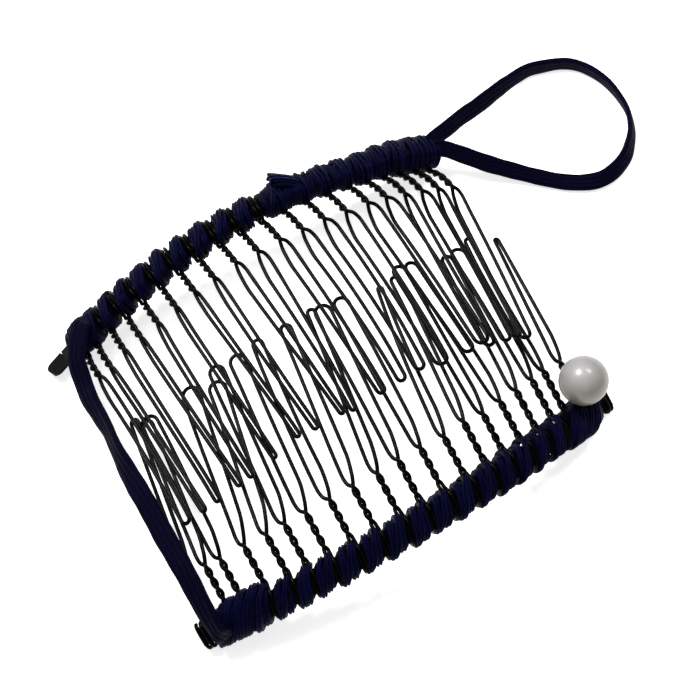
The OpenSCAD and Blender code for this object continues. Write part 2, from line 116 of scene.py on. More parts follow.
LOOP_ROUTE = [
    (48.6, 35.9, 5.9, 45), (52.0, 36.6, 5.6, 45), (56.0, 37.7, 4.9, 42),
    (60.0, 38.5, 4.1, 42), (64.0, 39.5, 3.3, 45), (70.0, 41.0, 2.2, 58),
    (76.0, 41.8, 1.5, 70), (80.0, 41.0, 1.2, 78), (84.0, 39.5, 1.1, 84),
    (86.7, 37.3, 1.1, 88), (88.7, 34.0, 1.1, 92), (89.9, 30.0, 1.1, 95),
    (90.1, 25.5, 1.1, 100), (89.5, 21.5, 1.1, 106), (87.7, 17.6, 1.1, 114),
    (85.3, 14.8, 1.1, 124), (82.5, 12.6, 1.0, 134), (78.5, 11.2, 0.8, 146),
    (75.0, 11.2, 0.5, 158), (71.5, 12.6, 0.3, 168), (68.0, 15.0, 0.2, 174),
    (64.5, 18.1, 0.4, 172), (60.0, 22.1, 1.4, 166), (55.5, 25.8, 3.1, 156),
    (51.5, 29.6, 4.7, 144), (48.4, 32.6, 5.7, 135)]
# Ends of the band and the loop inside the bindings
BAND_LEAD = [(-35.6, 35.0, 8.0, 18), (-43.6, -35.9, 6.9, 50)]
LOOP_LEAD = [(45.4, 34.9, 6.2, 45), (45.4, 34.0, 6.0, 130)]
# Widths, thickness, the ribs on each face, their height, and how deep their feet lie
BAND_W, LOOP_W, ELASTIC_T = 4.2, 3.7, 1.3
RIBS, RIB_HIGH, RIB_FOOT = 4, 0.10, 0.12


# Combs and teeth
def turned(v):
    """Turned as the whole clip is, by the small angles in TURN."""
    v = np.asarray(v, float)
    return v + np.cross(np.broadcast_to(TURN, v.shape), v)


def settle(p):
    """Turned and moved to where the clip lies in the frame."""
    return turned(p) + CENTRE


def from_middle(i):
    """-1 at the leftmost tooth, 1 at the rightmost."""
    return (i - MIDDLE) / MIDDLE


def tooth_x(i):
    return PITCH * (i - MIDDLE) - SQUEEZE * MIDDLE * from_middle(i) ** 3


def root_x(side, i):
    return tooth_x(i) + ROWS[side][i][ROOT]


def arch_h(x):
    return np.sqrt(ARCH_R ** 2 - np.asarray(x, float) ** 2) - math.sqrt(ARCH_R ** 2 - CHORD_HALF ** 2)


def level_point(side, x, inward, outward, along=0.0):
    """A point of a comb before it settles: at x on the arch, then towards the teeth's
    tips, away from the arch's centre, and along the arch. Takes numbers or arrays."""
    given = [np.asarray(v, float) for v in (x, inward, outward, along)]
    x, inward, outward, along = np.broadcast_arrays(*given)
    s = np.arcsin(x / ARCH_R)
    up = np.array([0, side * math.sin(LEAN), math.cos(LEAN)])
    across = np.array([0, -side * math.cos(LEAN), math.sin(LEAN)])
    ex = np.array([1.0, 0, 0])
    radial = np.sin(s)[..., None] * ex + np.cos(s)[..., None] * up
    tangent = np.cos(s)[..., None] * ex - np.sin(s)[..., None] * up
    foot = np.array([side * SHIFT, side * COMB_Y, FOOT_Z])
    return (foot + x[..., None] * ex + arch_h(x)[..., None] * up + inward[..., None] * across
            + outward[..., None] * radial + along[..., None] * tangent)


def comb_point(side, x, inward, outward, along=0.0):
    return settle(level_point(side, x, inward, outward, along))


def hairpin_length(side, i):
    k = from_middle(i)
    return HAIRPIN[side][0] - HAIRPIN[side][1] * k * k + ROWS[side][i][LONGER]


def hairpin_point(side, i, t, w, lift=0.0):
    """A point of a hairpin: t from its fork towards its tip, w sideways, and its lift."""
    row = ROWS[side][i]
    length = hairpin_length(side, i)
    way, fan = HAIRPIN_WAY[side]
    angle = math.radians(way + fan * from_middle(i))
    reach = FORK_REACH + row[REACH]
    fork = level_point(side, root_x(side, i), reach, 0)
    d = np.array([length * math.sin(angle) + row[TIP], -side * length * math.cos(angle)])
    d /= np.linalg.norm(d)
    t, w, lift = np.broadcast_arrays(*[np.asarray(v, float) for v in (t, w, lift)])
    along = t / length
    v = w + side * row[BOW] * 4 * along * (1 - along)
    x = fork[0] + t * d[0] - side * v * d[1]
    y = fork[1] + t * d[1] + side * v * d[0]
    z = (FOOT_Z + arch_h(x - side * SHIFT * (1 - along)) * math.cos(LEAN) + reach * math.sin(LEAN)
         + side * t * math.sin(SLOPE) + row[LIFT] * along + lift)
    return settle(np.stack([x, y, z], -1))


# Mesh tools
def resample(path, step):
    """Even steps along a path."""
    path = np.asarray(path, float)
    s = np.concatenate([[0], np.cumsum(np.linalg.norm(np.diff(path, axis=0), axis=1))])
    n = max(2, int(round(s[-1] / step)) + 1)
    at = np.linspace(0, s[-1], n)
    return np.stack([np.interp(at, s, path[:, k]) for k in range(path.shape[1])], 1)


def rounded(path):
    """Moving average of three points that keeps the two ends where they are."""
    new = path.copy()
    new[1:-1] += path[:-2] + path[2:]
    new[1:-1] /= 3
    return new


def spline(points, step):
    """Catmull-Rom curve through rows of numbers, then even steps along it."""
    p = np.asarray(points, float)
    p = np.vstack([2 * p[0] - p[1], p, 2 * p[-1] - p[-2]])
    out = []
    for a, b, c, d in zip(p[:-3], p[1:-2], p[2:-1], p[3:]):
        t = np.linspace(0, 1, 16, endpoint=False)[:, None]
        out.append(0.5 * (2 * b + (c - a) * t + (2 * a - 5 * b + 4 * c - d) * t ** 2
                          + (3 * b - a - 3 * c + d) * t ** 3))
    out.append(p[-2][None])
    fine = np.vstack(out)
    s = np.concatenate([[0], np.cumsum(np.linalg.norm(np.diff(fine[:, :3], axis=0), axis=1))])
    at = np.linspace(0, s[-1], max(3, int(round(s[-1] / step)) + 1))
    return np.stack([np.interp(at, s, fine[:, k]) for k in range(fine.shape[1])], 1)


def unit(v):
    return v / np.maximum(np.linalg.norm(v, axis=-1, keepdims=True), 1e-12)


def tangents(path):
    t = np.empty_like(path)
    t[1:-1] = path[2:] - path[:-2]
    t[0], t[-1] = path[1] - path[0], path[-1] - path[-2]
    return unit(t)


def carried(path):
    """Tangents, and normals carried along the path without twist."""
    t = tangents(path)
    n = np.empty_like(path)
    v = np.array([1.0, 0, 0])
    for k in range(len(path)):
        v = v - (v @ t[k]) * t[k]
        v = v / np.linalg.norm(v)
        n[k] = v
    return t, n


class Build:
    """Collects rings of points into one mesh. Its UV layer mm is the place in millimetres,
    and a second UV layer holds the painted shade of each place, most where it lies deep
    between strands."""

    def __init__(self):
        self.points, self.faces, self.uvs, self.sunk, self.count = [], [], [], [], 0

    def rings(self, rings, along=None, flip=False, loop=False, sunk=0.0):
        """rings is an array of rings by sides by 3. U is the distance along and V round.
        With loop, the last ring joins the first, else both ends are capped. The last argument
        gives the painted shade of each side, from 0 to 1, most where it lies deep between strands."""
        r, k = rings.shape[:2]
        if along is None:
            mid = rings.mean(1)
            mid = np.vstack([mid, mid[:1]]) if loop else mid
            along = np.concatenate([[0], np.cumsum(np.linalg.norm(np.diff(mid, axis=0), axis=1))])
        base = self.count
        self.points.append(rings.reshape(-1, 3))
        self.count += r * k
        step = np.linalg.norm(np.roll(rings, -1, 1) - rings, axis=2).mean(0)
        v = np.concatenate([[0], np.cumsum(step)])
        i, j = np.meshgrid(np.arange(r if loop else r - 1), np.arange(k), indexing="ij")
        i, j = i.ravel(), j.ravel()
        m, n = (j + 1) % k, (i + 1) % r
        quad = np.stack([base + i * k + j, base + n * k + j, base + n * k + m, base + i * k + m], 1)
        uv = np.stack([np.stack([along[i], v[j]], 1), np.stack([along[i + 1], v[j]], 1),
                       np.stack([along[i + 1], v[j + 1]], 1), np.stack([along[i], v[j + 1]], 1)], 1)
        shade = np.broadcast_to(np.asarray(sunk, float), (k,))
        shade = np.stack([shade[j], shade[j], shade[m], shade[m]], 1)
        if flip:
            quad, uv, shade = quad[:, ::-1], uv[:, ::-1], shade[:, ::-1]
        self.faces += quad.tolist()
        self.uvs.append(uv.reshape(-1, 2))
        self.sunk.append(shade.ravel())
        if not loop:
            caps = [list(range(base, base + k)), list(range(base + (r - 1) * k, base + r * k))[::-1]]
            for at, cap in zip((along[0], along[-1]), caps):
                cap = cap[::-1] if flip else cap
                self.faces.append(cap)
                self.uvs.append(np.stack([np.full(k, at), np.linspace(0, 1, k)], 1))
                self.sunk.append(np.zeros(k))

    def tube(self, path, radius, sides, taper=0.0):
        """Round wire along the path. taper is the share that both ends are thinner by."""
        t, n = carried(path)
        b = np.cross(t, n)
        a = np.arange(sides) * FULL_TURN / sides
        radius = np.full(len(path), radius)
        radius[[0, -1]] *= 1 - taper
        ring = np.cos(a)[None, :, None] * n[:, None] + np.sin(a)[None, :, None] * b[:, None]
        self.rings(path[:, None] + radius[:, None, None] * ring)

    def piece(self, name, material, slot):
        mesh = bpy.data.meshes.new(name)
        mesh.from_pydata((np.vstack(self.points) * MM).tolist(), [], self.faces)
        layer = mesh.uv_layers.new(name="mm")
        layer.data.foreach_set("uv", np.vstack(self.uvs).astype(np.float32).ravel())
        shade = np.concatenate(self.sunk).astype(np.float32)
        mesh.uv_layers.new(name="sunk").data.foreach_set("uv", np.repeat(shade, 2))
        mesh.polygons.foreach_set("use_smooth", [True] * len(mesh.polygons))
        mesh.materials.append(material)
        mesh.validate()
        mesh.update()
        obj = bpy.data.objects.new(name, mesh)
        bpy.context.scene.collection.objects.link(obj)
        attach(obj, "root")
        return obj


# Materials
class Nodes:
    """Short calls for building a material's nodes."""

    def __init__(self, name):
        self.material = bpy.data.materials.new(name)
        self.material.use_nodes = True
        self.tree = self.material.node_tree
        self.tree.nodes.clear()
        self.out = self.tree.nodes.new("ShaderNodeOutputMaterial")

    def add(self, kind, values=None, **settings):
        n = self.tree.nodes.new("ShaderNode" + kind)
        for k, v in settings.items():
            setattr(n, k, v)
        for k, v in (values or {}).items():
            if isinstance(v, bpy.types.NodeSocket):
                self.tree.links.new(v, n.inputs[k])
            else:
                n.inputs[k].default_value = v
        return n

    def maths(self, op, a, b=0.0, clamp=False):
        return self.add("Math", {0: a, 1: b}, operation=op, use_clamp=clamp).outputs[0]

    def contrast(self, value, middle, gain):
        """value less middle, times gain, kept from 0 to 1."""
        return self.maths("MULTIPLY", self.maths("SUBTRACT", value, middle), gain, True)

    def mix(self, fac, a, b):
        n = self.add("Mix", data_type="RGBA")
        for socket, v in ((n.inputs[0], fac), (n.inputs[6], a), (n.inputs[7], b)):
            if isinstance(v, bpy.types.NodeSocket):
                self.tree.links.new(v, socket)
            else:
                socket.default_value = v if isinstance(v, float) else (*v, 1)
        return n.outputs[2]

    def uv(self, scale):
        """Place on the piece in mm along and round, times scale."""
        values = {"Vector": self.add("UVMap", uv_map="mm").outputs["UV"], "Scale": scale}
        return self.add("Mapping", values).outputs["Vector"]

    def sunk(self):
        """How much shade is painted on the place, from 0 to 1, most where it lies between strands."""
        uv = self.add("UVMap", uv_map="sunk")
        return self.add("SeparateXYZ", {"Vector": uv.outputs["UV"]}).outputs["X"]

    def place(self, scale):
        """Place in the object, in metres, times the same scale each way."""
        values = {"Vector": self.add("TexCoord").outputs["Object"], "Scale": (scale,) * 3}
        return self.add("Mapping", values).outputs["Vector"]

    def noise(self, vector, detail=3.0, rough=0.55):
        values = {"Vector": vector, "Scale": 1.0, "Detail": detail, "Roughness": rough}
        return self.add("TexNoise", values).outputs["Fac"]

    def bump(self, height, strength, distance):
        values = {"Height": height, "Strength": strength, "Distance": distance}
        return self.add("Bump", values).outputs[0]

    def finish(self, shader):
        self.tree.links.new(shader, self.out.inputs["Surface"])
        return self.material


def wire_material():
    """Black lacquered wire."""
    n = Nodes("black_wire")
    grain = n.noise(n.place(900), 4.0)
    patch = n.noise(n.place(160), 2.0)
    s = n.add("BsdfPrincipled", {
        "Base Color": n.mix(patch, (0.0004, 0.0004, 0.0004), (0.0012, 0.0012, 0.0012)),
        "Roughness": n.maths("ADD", n.maths("MULTIPLY", patch, 0.16), 0.16),
        "Normal": n.bump(grain, 0.12, 0.00005), "Specular IOR Level": 0.05})
    return n.finish(s.outputs[0])


def strip_material():
    """Black lacquered strip, duller than the wire."""
    n = Nodes("black_strip")
    grain = n.noise(n.place(700), 5.0, 0.65)
    patch = n.noise(n.place(120), 3.0)
    s = n.add("BsdfPrincipled", {
        "Base Color": n.mix(patch, (0.0008, 0.0008, 0.0009), (0.0022, 0.0022, 0.0026)),
        "Roughness": n.maths("ADD", n.maths("MULTIPLY", grain, 0.2), 0.36),
        "Normal": n.bump(grain, 0.15, 0.00006), "Specular IOR Level": 0.07})
    return n.finish(s.outputs[0])


def cord_material():
    """Navy yarn with fibres along each strand, and painted shade deep between strands and under the
    turns.
    """
    n = Nodes("navy_thread")
    fibre = n.noise(n.uv((1.6, 6.0, 1)), 4.0, 0.6)
    coarse = n.noise(n.uv((0.56, 1.8, 1)), 2.0, 0.5)
    patch = n.noise(n.place(170), 2.0)
    base = n.mix(n.contrast(fibre, 0.34, 2.8), (0.0007, 0.0009, 0.0055), (0.0033, 0.0042, 0.0320))
    base = n.mix(n.contrast(patch, 0.5, 2.5), base, (0.0036, 0.0036, 0.0250))
    # Painted shade: near black deep between strands and on the core under the turns
    base = n.mix(n.sunk(), base, (0.0001, 0.0001, 0.0004))
    height = n.maths("ADD", fibre, n.maths("MULTIPLY", coarse, 0.8))
    s = n.add("BsdfPrincipled", {
        "Base Color": base, "Roughness": 0.48, "Normal": n.bump(height, 0.8, 0.0002),
        "Sheen Weight": 0.005, "Sheen Roughness": 0.4, "Sheen Tint": (0.2, 0.18, 1.0, 1),
        "Specular IOR Level": 0.05, "Specular Tint": (0.35, 0.36, 1.0, 1)})
    return n.finish(s.outputs[0])


def elastic_material():
    """Navy knit, with painted shade between its ribs."""
    n = Nodes("navy_elastic")
    cells = n.add("TexVoronoi", {"Vector": n.uv((2.4, 3.4, 1)), "Scale": 1.0}, feature="F1")
    knit = cells.outputs["Distance"]
    fibre = n.noise(n.uv((1.4, 7.0, 1)), 4.0, 0.6)
    patch = n.noise(n.place(130), 2.0)
    base = n.mix(n.contrast(fibre, 0.3, 2.2), (0.0004, 0.0005, 0.0030), (0.0022, 0.0027, 0.0140))
    base = n.mix(n.contrast(patch, 0.5, 2.5), base, (0.0028, 0.0024, 0.0130))
    # Painted shade: near black between the ribs
    base = n.mix(n.sunk(), base, (0.0001, 0.0001, 0.0006))
    height = n.maths("SUBTRACT", n.maths("MULTIPLY", fibre, 0.6), n.maths("MULTIPLY", knit, 0.6))
    s = n.add("BsdfPrincipled", {
        "Base Color": base, "Roughness": 0.6, "Normal": n.bump(height, 0.7, 0.00016),
        "Sheen Weight": 0.012, "Sheen Roughness": 0.4, "Sheen Tint": (0.2, 0.18, 1.0, 1),
        "Specular IOR Level": 0.05, "Specular Tint": (0.35, 0.32, 1.0, 1)})
    return n.finish(s.outputs[0])


def pearl_material():
    """Pale lustre with painted shade towards the rim, and warm painted shade on its lower front side."""
    n = Nodes("pearl_lustre")
    cloud = n.noise(n.place(140))
    facing = n.add("LayerWeight", {"Blend": 0.35}).outputs["Facing"]
    body = n.mix(cloud, (0.40, 0.395, 0.40), (0.48, 0.475, 0.48))
    # Painted shade that darkens the rim
    body = n.mix(n.maths("MULTIPLY", facing, 1.1, True), body, (0.06, 0.045, 0.030))
    # How fast the warm painted shade comes on, per mm towards the front and down
    front, down = 0.080, 0.060
    at = n.add("TexCoord").outputs["Object"]
    lower = n.add("VectorMath", {0: at, 1: (0.0, -front / MM, -down / MM)}, operation="DOT_PRODUCT")
    lower = n.maths("ADD", lower.outputs["Value"], 0.45 + float(PEARL_AT @ [0.0, front, down]), True)
    # Warm painted shade on the lower front side
    body = n.mix(lower, body, (0.165, 0.140, 0.080))
    s = n.add("BsdfPrincipled", {
        "Base Color": body, "Roughness": 0.36, "Normal": n.bump(n.noise(n.place(500)), 0.05, 0.0001),
        "Specular IOR Level": 0.55, "Coat Weight": 0.35, "Coat Roughness": 0.2,
        "Coat Tint": (1.0, 0.97, 0.96, 1)})
    return n.finish(s.outputs[0])


# Where the pearl sits: place along the lower comb, towards its teeth and outwards
PEARL_X, PEARL_IN, PEARL_OUT, PEARL_R = 41.3, 7.2, 5.75, 5.0
PEARL_AT = comb_point(LOWER, PEARL_X, PEARL_IN, PEARL_OUT)
WIRE = wire_material()
STRIP = strip_material()
THREAD = cord_material()
ELASTIC = elastic_material()
PEARL = pearl_material()

# Camera at the photograph's viewing angle
ELEVATION, AZIMUTH, DISTANCE = math.radians(67.3), math.radians(-31), 335.0
TARGET = settle([5.8, 0.9, 11.3])
level = math.cos(ELEVATION)
view = np.array([math.sin(AZIMUTH) * level, -math.cos(AZIMUTH) * level, math.sin(ELEVATION)])
right = np.array([math.cos(AZIMUTH), math.sin(AZIMUTH), 0])
view, right = unit(turned(view)), unit(turned(right))


def stand(obj, right, up, back, at):
    """Turns an object so that its X, Y and Z are right, up and back, and puts it at a place."""
    rows = np.column_stack([right, up, back, at]).tolist()
    obj.matrix_world = Matrix(rows + [[0, 0, 0, 1]])
    bpy.context.scene.collection.objects.link(obj)


data = bpy.data.cameras.new("camera")
data.lens, data.sensor_width = 86.1, 36
data.clip_start, data.clip_end = 0.01, 10
camera = bpy.data.objects.new("camera", data)
stand(camera, right, np.cross(view, right), view, (TARGET + DISTANCE * view) * MM)
bpy.context.scene.camera = camera


# Elastics: flat, with ribs along them
def elastic(name, route, width):
    """One elastic along its route: the piece, its centreline and its length in metres."""
    rows = np.array(route, float)
    rows[:, :3] = settle(rows[:, :3])
    step = 0.45
    rows = spline(rows, step)
    path, turn = rows[:, :3], np.radians(rows[:, 3])
    t = tangents(path)
    level = unit(np.cross(t, np.array([0, 0, 1.0])))
    rise = np.cross(t, level)
    across = np.cos(turn)[:, None] * level + np.sin(turn)[:, None] * rise
    thick = np.cross(t, across)
    # Section with ribs on both faces, from one edge to the other and back
    flat = ELASTIC_T / 2 - RIB_FOOT
    top = np.linspace(-1, 1, 33)
    v = np.concatenate([top, top[::-1][1:-1]])
    face = np.where(np.arange(len(v)) < len(top), 1, -1)
    rib = RIB_HIGH * np.abs(np.cos(RIBS * math.pi * (v + 1) / 2)) ** 0.7
    h = face * (flat * (1 - np.abs(v) ** 5) ** 0.5 + rib * (1 - np.abs(v) ** 8))
    # Slight swelling of the width along the way
    s = np.arange(len(path)) * step
    swell = 1 + 0.018 * np.sin(s * 1.1) + 0.014 * np.sin(s * 0.37 + 1)
    rings = (path[:, None] + (width / 2 * v[None, :] * swell[:, None])[..., None] * across[:, None]
             + h[None, :, None] * thick[:, None])
    build = Build()
    # Painted shade between the ribs and at their feet
    build.rings(rings, sunk=0.75 * (1 - rib / RIB_HIGH))
    piece = build.piece(name, ELASTIC, "elastic")
    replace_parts(piece, name.replace("_elastic", ""))
    length = float(np.linalg.norm(np.diff(path, axis=0), axis=1).sum())
    return piece, path * MM, length * MM


loop, loop_path, loop_length = elastic(
    "closing_loop_elastic", LOOP_LEAD[:1] + LOOP_ROUTE + LOOP_LEAD[1:], LOOP_W)
band, band_path, band_length = elastic(
    "hinge_band_elastic", BAND_LEAD[:1] + BAND_ROUTE + BAND_LEAD[1:], BAND_W)


# Teeth: a twisted stem, a hairpin, and both wires hooked over the binding
def pchip(t, at, values):
    """Smooth curve through the values that never swings past them."""
    at, values = np.array(at, float), np.array(values, float)
    h, d = np.diff(at), np.diff(values) / np.diff(at)
    m = np.zeros(len(at))
    for k in range(1, len(at) - 1):
        if d[k - 1] * d[k] > 0:
            m[k] = 2 * d[k - 1] * d[k] / (d[k - 1] + d[k])
    m[0], m[-1] = d[0], d[-1]
    k = np.clip(np.searchsorted(at, t) - 1, 0, len(h) - 1)
    s = (t - at[k]) / h[k]
    low = values[k] * (1 + 2 * s) * (1 - s) ** 2 + m[k] * h[k] * s * (1 - s) ** 2
    return low + values[k + 1] * s * s * (3 - 2 * s) + m[k + 1] * h[k] * s * s * (s - 1)


# Stretches of each binding where the cord lies over the hooks too
FILLED = {UPPER: [(-46.0, -37.5), (4.0, 46.0)], LOWER: [(-43.0, -33.2), (36.0, 48.0)]}
# Half the width and height of a hook over bare binding, and of one that the cord covers
BARE_HOOK, COVERED_HOOK = (3.05, 2.0), (2.65, 1.6)
# Where a stem's twist begins, its half turns, and half the distance between its wires
STEM_TOP, HALF_TURNS, STRAND = 4.0, 3.5, 0.42
# How far from the fork the sharp and the gentle wire are fully apart, the least half width
# of a tip's bend, and how far the wires wave
SHARP_OUT, GENTLE_OUT, TIP_LEAST, WAVE = 3, 7, 0.43, 0.06


def squarish(angle, power):
    """Cosine and sine of an angle, drawn out towards a square's corners."""
    c, s = np.cos(angle), np.sin(angle)
    return np.sign(c) * np.abs(c) ** power, np.sign(s) * np.abs(s) ** power


def hook_path(side, x, e):
    """One wire from the stem's top over the binding and round to its underside."""
    covered = any(a <= x <= b for a, b in FILLED[side])
    wide, high = COVERED_HOOK if covered else BARE_HOOK
    p, q = squarish(np.radians(np.linspace(-40 if side > 0 else 30, 292, 46)), 0.8)
    return comb_point(side, x, wide * p, high * q, e)


def tooth_path(side, i):
    """Both wires of a tooth as one path, from the end of one hook to that of the other.
    The sharp wire parts from the stem at once, and the gentle one further on."""
    x = root_x(side, i)
    row = ROWS[side][i]
    half, end = row[HALF], max(row[TIP_HALF], TIP_LEAST)
    straight = hairpin_length(side, i) - end
    reach = FORK_REACH + row[REACH]
    p = np.linspace(STEM_TOP, reach, 44)[:-1]
    turn = math.pi / 2 + math.pi * HALF_TURNS * (reach - p) / (reach - STEM_TOP)
    sideways, up = side * STRAND * np.cos(turn), STRAND * np.sin(turn)
    # The upper stems come from under the binding, as it is seen from above their side
    under = -np.clip(1 - (p - STEM_TOP) / 4.0, 0, 1) ** 1.5 if side > 0 else 0 * p
    stem_sharp = comb_point(side, x, p, under + up, sideways)
    stem_gentle = comb_point(side, x, p, under - up, -sideways)
    # Distances along the hairpin, closer where its wires part
    t = np.concatenate([[0.0, 0.25, 0.5, 0.75], np.arange(1.0, 8, 0.4),
                        np.arange(8, straight, 0.8), [straight]])
    wide = np.interp(t, [SHARP_OUT, straight], [half, end])
    gentle_half = float(np.interp(GENTLE_OUT, [SHARP_OUT, straight], [half, end]))
    sharp_start = pchip(t, [0, 1, SHARP_OUT, 9], [0.0, 0.72 * half + 0.05, half, half])
    gentle_start = pchip(t, [0, 2.5, GENTLE_OUT, 12], [0.0, 0.5 * half + 0.08, gentle_half, half])
    w_sharp = np.where(t < SHARP_OUT, sharp_start, wide)
    w_gentle = np.where(t < GENTLE_OUT, gentle_start, wide)
    # Slight waves in both wires, which fade at the fork and the tip
    wave = RNG.uniform(0, 6.28, 2)
    fade = np.clip(t / 6, 0, 1) * np.clip((straight - t) / 5, 0, 1)
    w_sharp = w_sharp + WAVE * fade * np.sin(t / 6.5 + wave[0])
    w_gentle = w_gentle + WAVE * fade * np.sin(t / 7.5 + wave[1])
    # The twist's height between the wires dies away behind the fork
    lift = STRAND * np.exp(-t / 1.1)
    sharp = hairpin_point(side, i, t, side * w_sharp, lift)
    gentle = hairpin_point(side, i, t, -side * w_gentle, -lift)
    a = np.radians(np.arange(15, 166, 15))
    tip = hairpin_point(side, i, straight + end * np.sin(a), side * end * np.cos(a))
    one = np.vstack([hook_path(side, x, side * STRAND)[::-1], stem_sharp, sharp])
    other = np.vstack([gentle[::-1], stem_gentle[::-1], hook_path(side, x, -side * STRAND)])
    return np.vstack([one, tip, other])


def bare_wire(path, name, node):
    """Black wire along the path, in place of a node."""
    build = Build()
    build.tube(path, WIRE_R, 10, taper=0.3)
    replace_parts(build.piece(name, WIRE, "comb_wire"), node)


WIRE_STEP = 0.25
for side, word in ((UPPER, "upper"), (LOWER, "lower")):
    for i in range(TEETH):
        path = rounded(resample(tooth_path(side, i), WIRE_STEP))
        number = "%02d" % (i + 1)
        bare_wire(path, word + "_tooth_wire_" + number, word + "_tooth_" + number)


# Binding: a soft core that is drawn in at each tooth, with flat turns of cord round it.
# Half its width and thickness in a groove, how much more of both it has between two teeth,
# both at its rounded ends, and both for the turns of cord
GROOVE_HALF, FULLER, END_HALF, TURN_HALF = (2.25, 1.2), (0.62, 0.8), (1.9, 0.7), (2.72, 1.87)
# Power of its section, 0 for a box and 1 for an ellipse, how deep the grooves between strands are,
# and how far a turn's underside lies inside the core
SQUARE, BETWEEN_STRANDS, UNDERSIDE = 0.72, 0.40, -0.3
# Half a groove's floor along the comb, the width of its flank, and how far both ends and
# the edges of a stretch over the hooks are rounded
FLOOR_A, FLANK, END_ROUND, EDGE_ROUND = 0.85, 0.7, 0.9, 0.8
# How far the turns of a lashing, between two teeth, over a hook and across wander
LASHING_WANDER, TURN_WANDER, HOOK_WANDER, CROSSING_WANDER = 0.12, 0.18, 0.06, 0.25


class Binding:
    """One comb's binding: a table of extra width, extra thickness, shift away from the
    teeth and shift outwards, by place."""

    def __init__(self, side, rows):
        self.side, self.rows, self.build = side, np.array(rows, float), Build()
        self.teeth = [root_x(side, i) for i in range(TEETH)]

    def size(self, u):
        """What the table says at u."""
        return [np.interp(u, self.rows[:, 0], self.rows[:, c]) for c in (1, 2, 3, 4)]

    def core(self, filled):
        """filled lists stretches where the cord lies over the hooks too."""
        u = np.arange(self.rows[0, 0], self.rows[-1, 0] + 0.01, 0.15)
        wider, thicker, away, out = self.size(u)
        # Fullness: 0 in the groove under a tooth's wires, 1 between two teeth
        full = np.ones_like(u)
        for e in self.teeth:
            full = np.minimum(full, np.clip((np.abs(u - e) - FLOOR_A) / FLANK, 0, 1))
        for a, b in filled:
            full = np.maximum(full, np.clip(np.minimum(u - a, b - u) / EDGE_ROUND, 0, 1))
        # Both ends are rounded down to a small section
        end = np.clip(np.minimum(u - u[0], u[-1] - u) / END_ROUND, 0, 1)
        end = np.sqrt(1 - (1 - end) ** 2)
        a = GROOVE_HALF[0] + (FULLER[0] + wider) * full
        b = GROOVE_HALF[1] + (FULLER[1] + thicker) * full
        a = END_HALF[0] + (a - END_HALF[0]) * end
        b = END_HALF[1] + (b - END_HALF[1]) * end
        cp, cq = squarish(np.arange(48) * FULL_TURN / 48, SQUARE)
        uu = np.repeat(u[:, None], len(cp), 1)
        p = a[:, None] * cp - (away * full)[:, None]
        q = b[:, None] * cq + (out * full)[:, None]
        rings = comb_point(self.side, uu, p, q)
        # Painted shade: the core is nearly all dark, as it lies under the turns and the hooks
        self.build.rings(rings, along=u, flip=self.side < 0, sunk=0.9)

    def turn(self, u0, width, tilt, lift, strands, thick, wander):
        """One turn of cord, as a row of strands side by side. It leans tilt mm one way
        across the outer face and back on the other, so that the fold lines slant. lift is
        its height over the lowest turns, and wander how unevenly it runs."""
        wider, thicker, away, out = [float(v) for v in self.size(u0)]
        angle = np.arange(44) * FULL_TURN / 44
        cp, cq = squarish(angle, SQUARE)
        # Section: six points a strand on top, and a flat underside inside the core
        top = np.linspace(-1, 1, 6 * strands + 1)
        edge = np.clip(1 - np.abs(top) ** 2.6, 0, 1) ** 0.5
        groove = BETWEEN_STRANDS * (1 - np.abs(np.sin(math.pi * strands * (top + 1) / 2)) ** 0.6)
        v = np.concatenate([top, [0.8, 0.0, -0.8]]) * width / 2
        h = np.concatenate([(thick - groove) * edge, [UNDERSIDE] * 3])
        # Painted shade in the grooves between strands and on the hidden underside
        sunk = np.clip(1.15 - 1.3 * h / thick, 0, 1)
        a, b = TURN_HALF[0] + wider + lift, TURN_HALF[1] + thicker + lift
        wave = RNG.uniform(0, 6.28, 3)
        jitter = 0.06 * np.sin(2 * angle + wave[0]) + 0.05 * np.sin(3 * angle + wave[1])
        lean = -self.side * tilt * np.cos(angle) + wander * np.sin(2 * angle + wave[2])
        # A turn is a little narrower where it goes round the edges
        narrow = 1 - 0.12 * np.abs(cp) ** 6
        u = u0 + lean[:, None] + v[None] * narrow[:, None]
        r = h[None] + jitter[:, None]
        p = a * cp[:, None] + r * np.cos(angle)[:, None] - away
        q = b * cq[:, None] + r * np.sin(angle)[:, None] + out
        rings = comb_point(self.side, u, p, q)
        self.build.rings(rings, flip=self.side > 0, loop=True, sunk=sunk)

    def lashing(self, a, b, step, width, tilt, strands, thick, rise=0.12):
        """Turns that overlap from a to b. step, width and tilt each give the lowest and
        the highest value, and rise says how much higher every next turn of three lies."""
        u, k = a, 0
        while u <= b:
            self.turn(u, RNG.uniform(*width), RNG.uniform(*tilt),
                      0.05 + rise * (k % 3) + RNG.uniform(0, 0.08), strands, thick,
                      LASHING_WANDER)
            u += RNG.uniform(*step)
            k += 1

    def between_teeth(self, filled, spread, wide, slant, middle_slant):
        """Two or three turns between every two teeth, the middle one most slanted."""
        for tooth, next_tooth in zip(self.teeth[:-1], self.teeth[1:]):
            middle, room = (tooth + next_tooth) / 2, next_tooth - tooth - 1.5
            if any(a <= middle <= b for a, b in filled):
                continue
            count = 3 if room > 2.6 else 2
            for k in range(count):
                offset = k - (count - 1) / 2
                inner = 1 - abs(offset)
                self.turn(middle + offset * room * spread / count, room / count * wide,
                          RNG.uniform(0.7, 1.0) + middle_slant * inner + slant,
                          0.02 + 0.34 * inner + RNG.uniform(0, 0.2), 2,
                          RNG.uniform(0.55, 0.75), TURN_WANDER)

